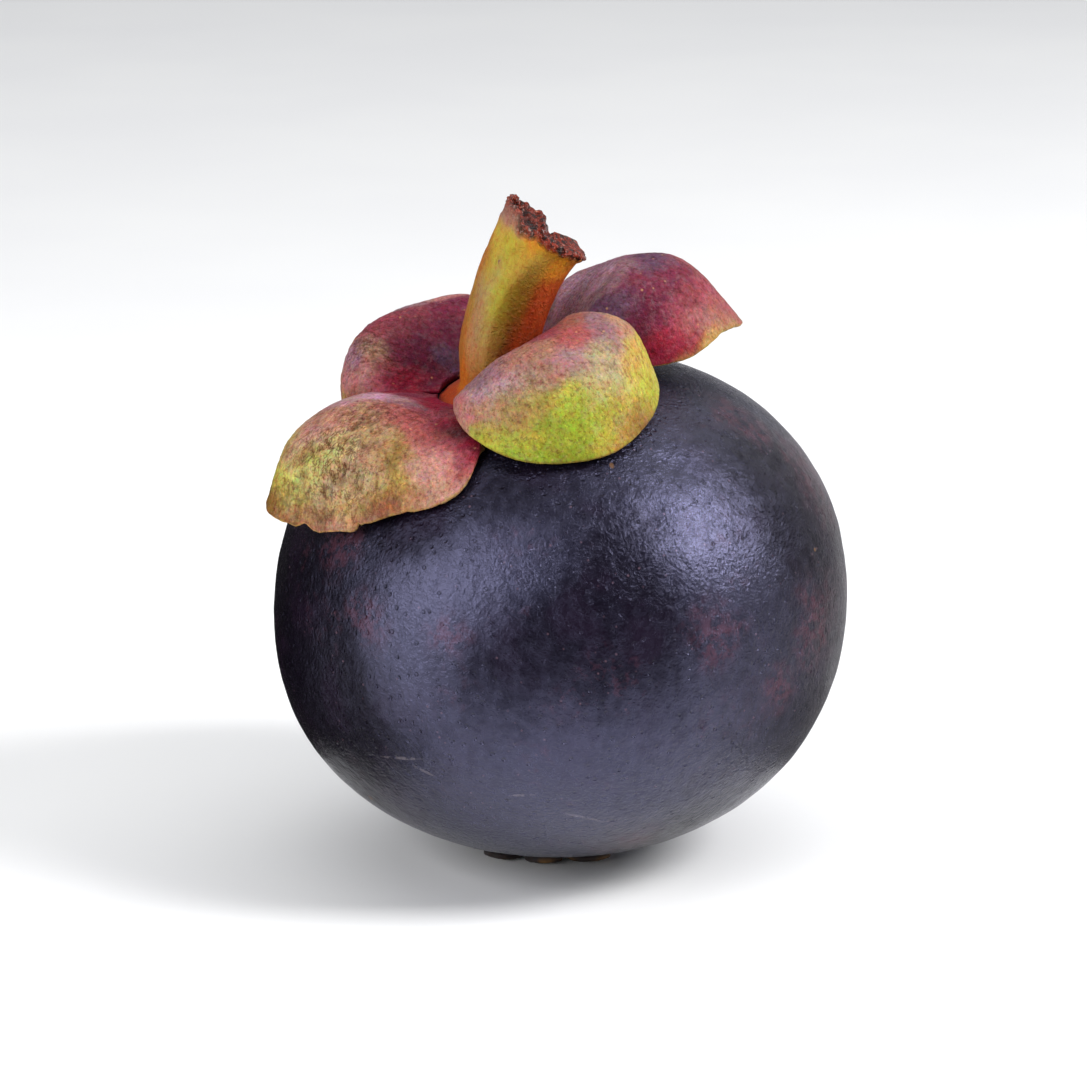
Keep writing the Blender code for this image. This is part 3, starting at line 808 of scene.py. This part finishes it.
def make_rosette(material):
    steps = SEGMENT_COUNT * LOBE_STEPS
    turns = [2 * math.pi * i / steps for i in range(steps)]
    points, layers, faces, edges = [], {"reach": [], "top": []}, [], []
    for top in (False, True):
        rings = []
        for level in range(1, ROSETTE_LEVELS + 1):
            share = level / ROSETTE_LEVELS
            rings.append([len(points) + i for i in range(steps)])
            points += [rosette_point(turn, share, top) for turn in turns]
            layers["reach"] += [share] * steps
            layers["top"] += [float(top)] * steps
        faces.append(tuple(rings[0]))
        for inner, outer in zip(rings, rings[1:]):
            faces += bridged(inner, outer)
        edges.append(rings[-1])
    faces += bridged(*edges)
    rosette = make_object("rosette_wood", points, faces, material, layers)
    install(rosette, "stigma_rosette")


# ---------------- materials
class Look:
    """A material's node tree, with short calls for the nodes used here."""

    def __init__(self, name):
        self.material = bpy.data.materials.new(name)
        self.material.use_nodes = True
        self.shader = self.material.node_tree.nodes["Principled BSDF"]
        place = self.new("TexCoord").outputs["Object"]
        # The surface point in millimetres
        self.place = self.fed(self.new("VectorMath", "SCALE"), "Vector", place, Scale=1 / MM)

    def put(self, value, socket):
        """Link an output to a socket, or set the socket to a number or a colour."""
        if isinstance(value, bpy.types.NodeSocket):
            self.material.node_tree.links.new(value, socket)
        elif isinstance(value, tuple) and len(value) == 3 and socket.type == "RGBA":
            socket.default_value = (*value, 1)
        else:
            socket.default_value = value

    def new(self, kind, operation=None):
        node = self.material.node_tree.nodes.new("ShaderNode" + kind)
        if operation:
            node.operation = operation
        return node

    def fed(self, node, output, *values, **named):
        """An output of the node, once its first inputs and those named are filled."""
        for name, value in [*enumerate(values), *named.items()]:
            self.put(value, node.inputs[name])
        return node.outputs[output]

    def attribute(self, name, output="Fac"):
        node = self.new("Attribute")
        node.attribute_name = name
        return node.outputs[output]

    def noise(self, size, detail=3.0, place=None, roughness=0.55, distortion=0.0, output="Fac"):
        return self.fed(
            self.new("TexNoise"), output, Vector=place or self.place, Scale=1 / size,
            Detail=detail, Roughness=roughness, Distortion=distortion,
        )

    def cells(self, size):
        return self.fed(self.new("TexVoronoi"), "Distance", Vector=self.place, Scale=1 / size)

    def step(self, value, low, high, to_low=0.0, to_high=1.0):
        """A value from low to high brought smoothly to a share, held at both ends."""
        node = self.new("MapRange")
        node.interpolation_type = "SMOOTHSTEP"
        return self.fed(node, "Result", value, low, high, to_low, to_high)

    def math(self, operation, *values):
        return self.fed(self.new("Math", operation), "Value", *values)

    def times(self, a, b):
        return self.math("MULTIPLY", a, b)

    def creased(self, height):
        """Noise folded at its middle, so that creases run where it was halfway."""
        return self.math("ABSOLUTE", self.math("SUBTRACT", height, 0.5))

    def mix(self, factor, a, b, blend="MIX"):
        node = self.new("Mix")
        node.data_type = "RGBA"
        node.blend_type = blend
        return self.fed(node, "Result", Factor=factor, A=a, B=b)

    def over(self, colour, cover, share, paint):
        """The colour under a paint that hides up to that share of it where it covers."""
        return self.mix(self.times(cover, share), colour, paint)

    def tinged(self, colour, factor, by):
        """The colour multiplied by another, as far as the factor says."""
        return self.mix(factor, colour, by, "MULTIPLY")

    def mottled(self, colour, size, strength):
        """The colour with each channel raised and lowered by its own fine noise."""
        fine = self.noise(size, 4.0, roughness=0.7, output="Color")
        node = self.new("VectorMath", "MULTIPLY_ADD")
        change = self.fed(node, "Vector", fine, (strength,) * 3, (1 - strength / 2,) * 3)
        return self.tinged(colour, 1.0, change)

    def stretched(self, place, x, y, z):
        return self.fed(self.new("Mapping"), "Vector", place, Scale=(x, y, z))

    def mark(self, direction, azimuth, size, lean):
        """1 inside a leaning ellipsoid on the rind, out that way from its centre."""
        node = self.new("Mapping")
        node.vector_type = "TEXTURE"
        centre = RIND_CENTRE + direction * rind_radius(direction)
        turned = (0, math.radians(-lean), math.radians(azimuth + 90))
        inside = self.fed(node, "Vector", self.place, Location=centre, Rotation=turned, Scale=size)
        return self.step(self.fed(self.new("VectorMath", "LENGTH"), "Value", inside), 1.0, 0.55)

    def bump(self, height, depth, below=None):
        """A bump of that depth in millimetres, over any bump below it."""
        node = self.new("Bump")
        if below is not None:
            self.put(below, node.inputs["Normal"])
        return self.fed(node, "Normal", Strength=1.0, Distance=depth * MM, Height=height)

    def finish(self, colour, roughness, normal, specular=None):
        sockets = self.shader.inputs
        self.put(colour, sockets["Base Color"])
        self.put(roughness, sockets["Roughness"])
        self.put(normal, sockets["Normal"])
        if specular is not None:
            self.put(specular, sockets["Specular IOR Level"])
        return self.material


def rind_look():
    """Purple-black waxy skin: a blue-grey bloom in streaks, red stains, pale specks and scars. The
    bloom's patches also paint reflections and shade.
    """
    look = Look("rind_wax")
    fine = look.noise(0.5, 6, look.stretched(look.place, 1, 1, 0.5), 0.7)
    # The bloom's coverage, whose patches also paint reflections and shade; it sets the bloom's
    # colour and how strongly the skin reflects
    bloom_and_painted_light = look.attribute("bloom")
    bloom = look.times(look.step(fine, 0.36, 0.66, 0.35, 1.0), bloom_and_painted_light)
    colour = look.mix(look.step(look.noise(6, 3), 0.45, 0.7), RIND_BLACK, RIND_PURPLE)
    colour = look.mix(bloom, colour, RIND_BLOOM_BLUE)
    blotches = look.noise(1.1, 5, roughness=0.7)
    stained = look.times(look.attribute("stain"), look.step(blotches, 0.40, 0.60))
    scattered = look.step(look.noise(9, 3), 0.52, 0.68)
    scattered = look.times(scattered, look.step(blotches, 0.5, 0.66))
    stain = look.math("MAXIMUM", stained, look.times(scattered, 0.5))
    colour = look.over(colour, stain, 0.8, RIND_STAIN_RED)
    patches = look.step(look.noise(5, 2), 0.46, 0.6)
    specks = look.times(look.step(look.cells(1.3), 0.14, 0.05), patches)
    colour = look.over(colour, specks, 0.5, RIND_SPECK)
    for azimuth, height, length, lean in RIND_SCARS:
        scar = look.mark(facing(azimuth, height), azimuth, (length, 2.0, 0.22), lean)
        scar = look.times(scar, look.step(blotches, 0.40, 0.55))
        colour = look.over(colour, scar, 0.5, SCAR_GREY)
    for azimuth, height, size in LATEX_DOTS:
        dot = look.mark(facing(azimuth, height), azimuth, (size, 2.0, size), 0)
        colour = look.over(colour, dot, 0.7, LATEX)
    leather = look.noise(1.3, 4, look.stretched(look.place, 1, 1, 0.8), 0.6, 0.5)
    normal = look.bump(look.creased(leather), 0.28)
    normal = look.bump(look.noise(0.40, 4, roughness=0.6), 0.13, normal)
    pits = look.times(look.step(look.cells(1.2), 0.24, 0.10), look.noise(3, 3))
    normal = look.bump(look.math("SUBTRACT", 1.0, pits), 0.20, normal)
    sheen = look.step(look.noise(1.2, 4), 0.35, 0.65, -0.1, 0.1)
    sheen = look.step(look.math("ADD", bloom_and_painted_light, sheen), -0.25, 0.75, 0.14, 1.0)
    look.shader.inputs["Specular Tint"].default_value = (0.60, 0.60, 1.0, 1)
    return look.finish(colour, look.step(fine, 0.3, 0.7, 0.17, 0.29), normal, sheen)


def sepal_look():
    """Leathery skin in the tint layer's colours, with brown freckles and pale flecks. Painted
    shade darkens the hollows of its relief and its cracks.
    """
    look = Look("sepal_leather")
    weave = look.attribute("weave", "Vector")
    worn_skin = look.attribute("worn")
    speckle = look.noise(0.42, 6, roughness=0.75)
    colour = look.mottled(look.attribute("tint", "Color"), 0.30, 1.2)
    colour = look.mottled(colour, 1.1, 0.9)
    colour = look.tinged(colour, look.step(speckle, 0.50, 0.62, 0.0, 0.7), (0.46, 0.30, 0.30))
    streaks = look.noise(0.45, 4, look.stretched(weave, 1, 0.3, 1), 0.65)
    colour = look.tinged(colour, look.step(streaks, 0.50, 0.66, 0.0, 0.5), (0.55, 0.36, 0.34))
    light = look.noise(0.38, 5, look.stretched(weave, 1, 0.6, 1), 0.7)
    colour = look.tinged(colour, look.step(light, 0.54, 0.68, 0.0, 0.6), (1.7, 1.6, 1.5))
    patches = look.step(look.noise(3, 2), 0.5, 0.62)
    flecks = look.times(look.step(look.cells(1.0), 0.20, 0.07), patches)
    colour = look.over(colour, flecks, 0.5, PALE_FLECK)
    colour = look.mix(look.step(look.noise(2.2, 5), 0.68, 0.76, 0.0, 0.5), colour, FRECKLE)
    # Painted shade in the hollows of the relief
    colour = look.tinged(colour, look.times(look.attribute("relief_shade"), 0.65), (0.42, 0.28, 0.24))
    long_creases = look.creased(look.noise(0.8, 4, look.stretched(weave, 1, 0.45, 1), 0.65, 0.4))
    cracks = look.times(look.step(long_creases, 0.0, 0.045, 1.0, 0.0), worn_skin)
    colour = look.tinged(colour, worn_skin, (1.28, 1.24, 1.32))
    # Painted shade in the cracks, along the bottoms of the creases that the bump below sinks
    colour = look.tinged(colour, cracks, (0.36, 0.22, 0.18))
    normal = look.bump(look.times(long_creases, worn_skin), 0.9)
    normal = look.bump(look.creased(look.noise(0.9, 4, distortion=0.6)), 0.20, normal)
    normal = look.bump(look.noise(0.33, 4, roughness=0.65), 0.11, normal)
    gloss = look.step(look.noise(0.7, 3), 0.45, 0.7, 0.07, 0.32)
    return look.finish(colour, look.step(speckle, 0.3, 0.7, 0.28, 0.5), normal, gloss)


def stem_look():
    """Green-yellow to orange bark, and a granular red-brown crust round the cut end, with painted
    shade in its pits and hollow and painted highlights and glints on its grains.
    """
    look = Look("stem_bark")
    crust = look.attribute("crust")
    fibres = look.noise(0.45, 4, look.stretched(look.place, 1, 1, 0.22), 0.65)
    mottle = look.noise(0.5, 5, roughness=0.7)
    bark = look.attribute("tint", "Color")
    bark = look.tinged(bark, look.step(fibres, 0.45, 0.65, 0.0, 0.35), (0.68, 0.56, 0.42))
    bark = look.tinged(bark, look.step(mottle, 0.52, 0.68, 0.0, 0.6), (0.60, 0.42, 0.36))
    bark = look.mix(look.step(look.noise(2.0, 5), 0.68, 0.74, 0.0, 0.7), bark, BARK_SCAR)
    bark = look.mottled(bark, 0.5, 0.9)
    grains = look.noise(0.7, 4, roughness=0.6)
    # Painted shade in the crust's pits and painted highlights on its grains' tops, where the bump
    # sinks and rises, then scattered painted glints
    crusty = look.mix(look.step(grains, 0.42, 0.56), CRUST_PIT_SHADE, CRUST_RED)
    crusty = look.mix(look.step(grains, 0.62, 0.72), crusty, CRUST_HIGHLIGHT)
    crusty = look.mix(look.step(look.noise(0.4, 3), 0.60, 0.68, 0.0, 0.6), crusty, CRUST_GLINT)
    # Painted shade inside the hollow of the cut end
    crusty = look.mix(look.attribute("hollow"), crusty, HOLLOW_SHADE)
    normal = look.bump(fibres, 0.10)
    normal = look.bump(look.times(grains, crust), 0.8, normal)
    normal = look.bump(look.creased(look.noise(0.7, 4, distortion=0.5)), 0.55, normal)
    colour, roughness = look.mix(crust, bark, crusty), look.step(crust, 0.0, 1.0, 0.40, 0.14)
    return look.finish(colour, roughness, normal, look.step(crust, 0.0, 1.0, 0.08, 0.4))


def rosette_look():
    """Near-black wood, brown along the lower edges of its lobes."""
    look = Look("rosette_wood")
    grains = look.noise(0.5, 5, roughness=0.65)
    colour = look.mix(look.step(grains, 0.35, 0.7), (0.005, 0.004, 0.006), (0.035, 0.016, 0.012))
    edge = look.step(look.attribute("reach"), 0.93, 1.0)
    below = look.math("SUBTRACT", 1.0, look.attribute("top"))
    patches = look.step(look.noise(5, 2), 0.45, 0.6)
    edging = look.mix(patches, (0.02, 0.010, 0.009), (0.22, 0.11, 0.03))
    colour = look.over(colour, edge, below, edging)
    return look.finish(colour, 0.6, look.bump(grains, 0.3))


def floor_look():
    look = Look("floor_paper")
    tone = look.step(look.noise(60, 2), 0.3, 0.7)
    colour = look.mix(tone, (0.86, 0.86, 0.865), (0.88, 0.88, 0.88))
    return look.finish(colour, 0.85, look.bump(look.noise(1.5, 3), 0.02))


def card_look(name, tone):
    look = Look(name)
    colour = look.mix(look.noise(20, 2), (tone,) * 3, (tone * 1.15, tone * 1.1, tone * 1.15))
    return look.finish(colour, 0.9, look.bump(look.noise(2, 2), 0.02))


# ---------------- stage
# Each light: its turn from the front (right positive), its height angle, its distance, width and
# height in metres, its radiance and its roll. All aim at the fruit's middle.
LIGHTS = {
    "key": (73, 38, 0.55, 0.16, 0.28, 25.0, 35),
    "fill_left": (-54, 24, 0.55, 0.46, 0.40, 4.6, 0),
    "rim_right": (138, 22, 0.60, 0.40, 0.30, 0.6, 0),
    "ceiling": (180, 78, 1.1, 1.6, 1.6, 1.1, 0),
}
LIT_MIDDLE = Vector((0.0, 0.0, 0.03))
SKY = (0.90, 0.94, 1.0, 1)
SKY_STRENGTH = 0.22
FLOOR_HALF = 2.0

# Cards that are seen in reflections alone: first and last azimuth, tone, profile (reach, height)
CARDS = {
    "dark_card": (112, 192, 0.012, [(34.0, 0.4), (52.0, 0.4), (57.0, 3.0), (59.0, 44.0)]),
    "left_card": (192, 228, 0.03, [(33.0, 0.4), (50.0, 0.4)]),
    "far_card": (-20, 80, 0.40, [(58.0, 0.4), (150.0, 0.4), (150.0, 50.0)]),
    "grey_card": (-20, 80, 0.20, [(33.0, 0.4), (52.0, 0.4), (58.0, 2.0)]),
}
CARD_STEPS = 24

CAMERA_RISE = 16.0  # degrees above level
CAMERA_DISTANCE = 480.0
CAMERA_TARGET = Vector((0.0, 2.03, 33.93))
FIELD_WIDTH = 118.67  # what the frame takes in at the target
SENSOR = 36.0


def stage_mesh(name, bm, material):
    """A stage object from a bmesh, which is freed."""
    mesh = bpy.data.meshes.new(name)
    bm.to_mesh(mesh)
    bm.free()
    mesh.materials.append(material)
    obj = linked(name, mesh)
    return obj


def make_floor():
    bm = bmesh.new()
    bmesh.ops.create_grid(bm, x_segments=8, y_segments=8, size=FLOOR_HALF)
    stage_mesh("floor", bm, floor_look())


def make_card(name, first, last, tone, profile):
    """A card curved round the fruit between two azimuths, seen in reflections alone."""
    bm = bmesh.new()
    rows = []
    for i in range(CARD_STEPS + 1):
        out = facing(first + (last - first) * i / CARD_STEPS, 0)
        rows.append([bm.verts.new((out * reach + Vector((0, 0, z))) * MM) for reach, z in profile])
    for row, following in zip(rows, rows[1:]):
        for k in range(len(profile) - 1):
            bm.faces.new((row[k], following[k], following[k + 1], row[k + 1]))
    card = stage_mesh(name, bm, card_look(name, tone))
    card.visible_camera = False
    card.visible_diffuse = False
    card.visible_shadow = False


def aimed(obj, place, target):
    obj.location = place
    obj.rotation_mode = "QUATERNION"
    obj.rotation_quaternion = (Vector(target) - Vector(place)).to_track_quat("-Z", "Y")


def soft_box(name, turn, rise, distance, width, height, radiance, roll):
    """A rectangular light that faces the fruit."""
    light = bpy.data.lights.new(name, "AREA")
    light.shape = "RECTANGLE"
    light.size = width
    light.size_y = height
    light.energy = radiance * math.pi * width * height
    obj = linked(name, light)
    aimed(obj, LIT_MIDDLE + facing(turn - 90, rise) * distance, LIT_MIDDLE)
    obj.rotation_quaternion @= Quaternion((0, 0, 1), math.radians(roll))


def light_stage():
    world = bpy.data.worlds.new("studio")
    world.use_nodes = True
    world.node_tree.nodes["Background"].inputs["Color"].default_value = SKY
    world.node_tree.nodes["Background"].inputs["Strength"].default_value = SKY_STRENGTH
    bpy.context.scene.world = world
    for name, settings in LIGHTS.items():
        soft_box(name, *settings)
    bpy.context.scene.view_settings.view_transform = "Standard"


def make_camera():
    camera = bpy.data.cameras.new("camera")
    camera.sensor_width = SENSOR
    camera.lens = SENSOR * CAMERA_DISTANCE / FIELD_WIDTH
    camera.clip_start = 0.01
    camera.clip_end = 10
    obj = linked("camera", camera)
    back = facing(-90, CAMERA_RISE)
    aimed(obj, (CAMERA_TARGET + back * CAMERA_DISTANCE) * MM, CAMERA_TARGET * MM)
    bpy.context.scene.camera = obj


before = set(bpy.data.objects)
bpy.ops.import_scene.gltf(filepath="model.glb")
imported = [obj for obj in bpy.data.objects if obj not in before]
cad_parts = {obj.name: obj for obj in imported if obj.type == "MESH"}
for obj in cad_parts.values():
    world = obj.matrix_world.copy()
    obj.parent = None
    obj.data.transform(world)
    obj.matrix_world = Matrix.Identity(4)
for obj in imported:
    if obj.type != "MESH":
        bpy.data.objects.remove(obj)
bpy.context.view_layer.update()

make_camera()
light_stage()
make_floor()
for card, settings in CARDS.items():
    make_card(card, *settings)
make_rind(rind_look())
leather = sepal_look()
for number, (name, spec) in enumerate(SEPALS.items()):
    make_sepal(name, spec, leather, 10.0 * number + 3.0)
make_stem(stem_look())
make_rosette(rosette_look())
